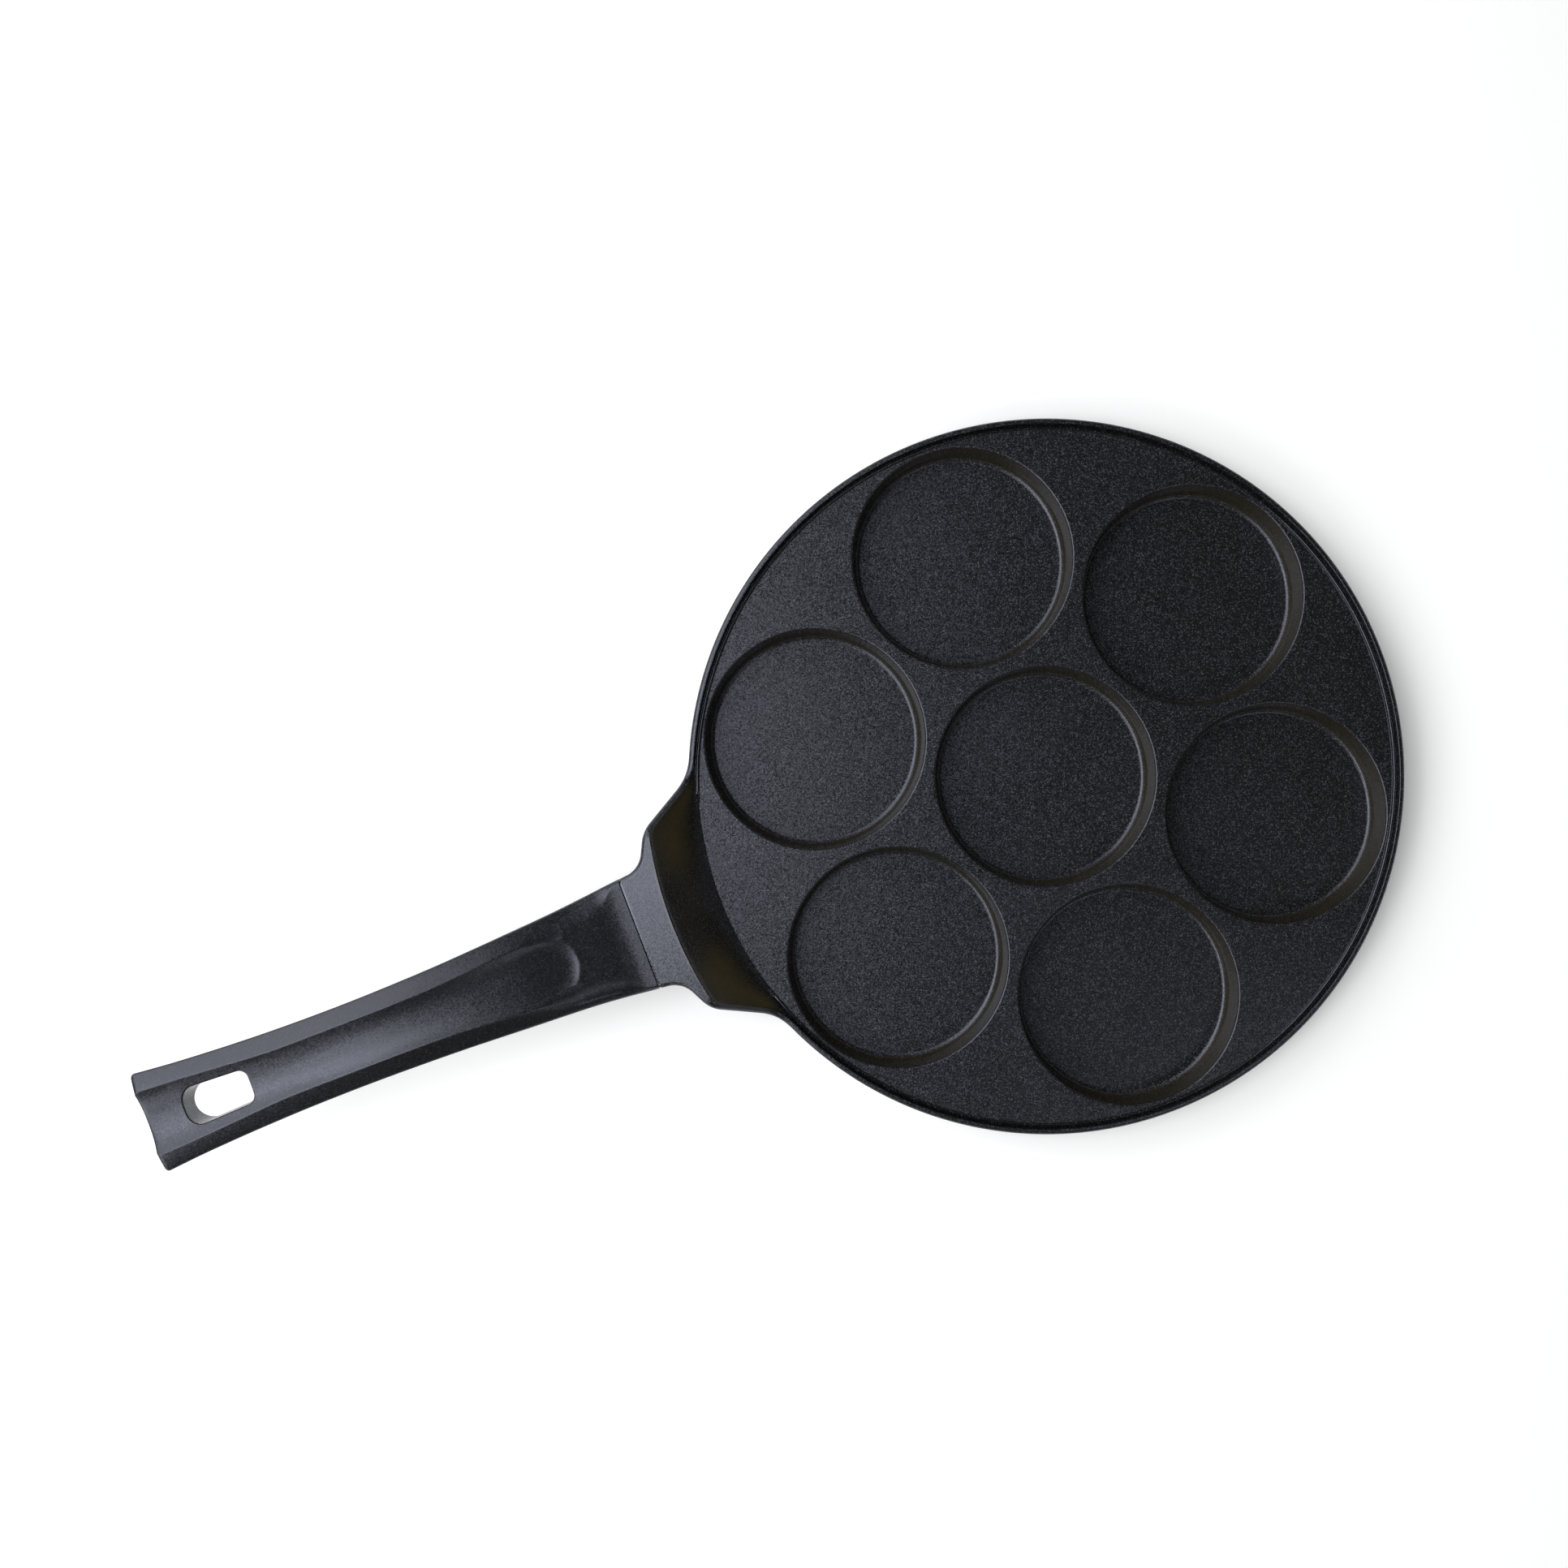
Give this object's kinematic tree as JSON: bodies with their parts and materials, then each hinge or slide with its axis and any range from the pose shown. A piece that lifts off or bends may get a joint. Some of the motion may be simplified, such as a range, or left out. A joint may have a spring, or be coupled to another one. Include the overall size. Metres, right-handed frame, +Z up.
{
  "type": "blini pan",
  "caption": "Flat round cast pan with shallow round wells for small pancakes, a sloped bracket and an arched handle with a hanging hole.",
  "frame": {"origin": "centre of the pan's base, on the surface it stands on", "axes": "+X runs out along the handle, +Z up; the pan is a mirror image of itself about the XZ plane"},
  "size_m": [0.4652, 0.26, 0.0548],
  "materials": {
    "nonstick_coating": "cast aluminium under a dark, finely speckled satin non-stick coating",
    "base_steel": "finely turned stainless steel",
    "handle_resin": "fine-grained soft-touch black",
    "screw_steel": "bright zinc-plated steel"
  },
  "bodies": {
    "root": {"pan_body": "nonstick_coating", "induction_plate": "base_steel", "handle_grip": "handle_resin", "handle_screw": "screw_steel", "spring_washer": "screw_steel", "flat_washer": "screw_steel"}
  },
  "joints": []
}
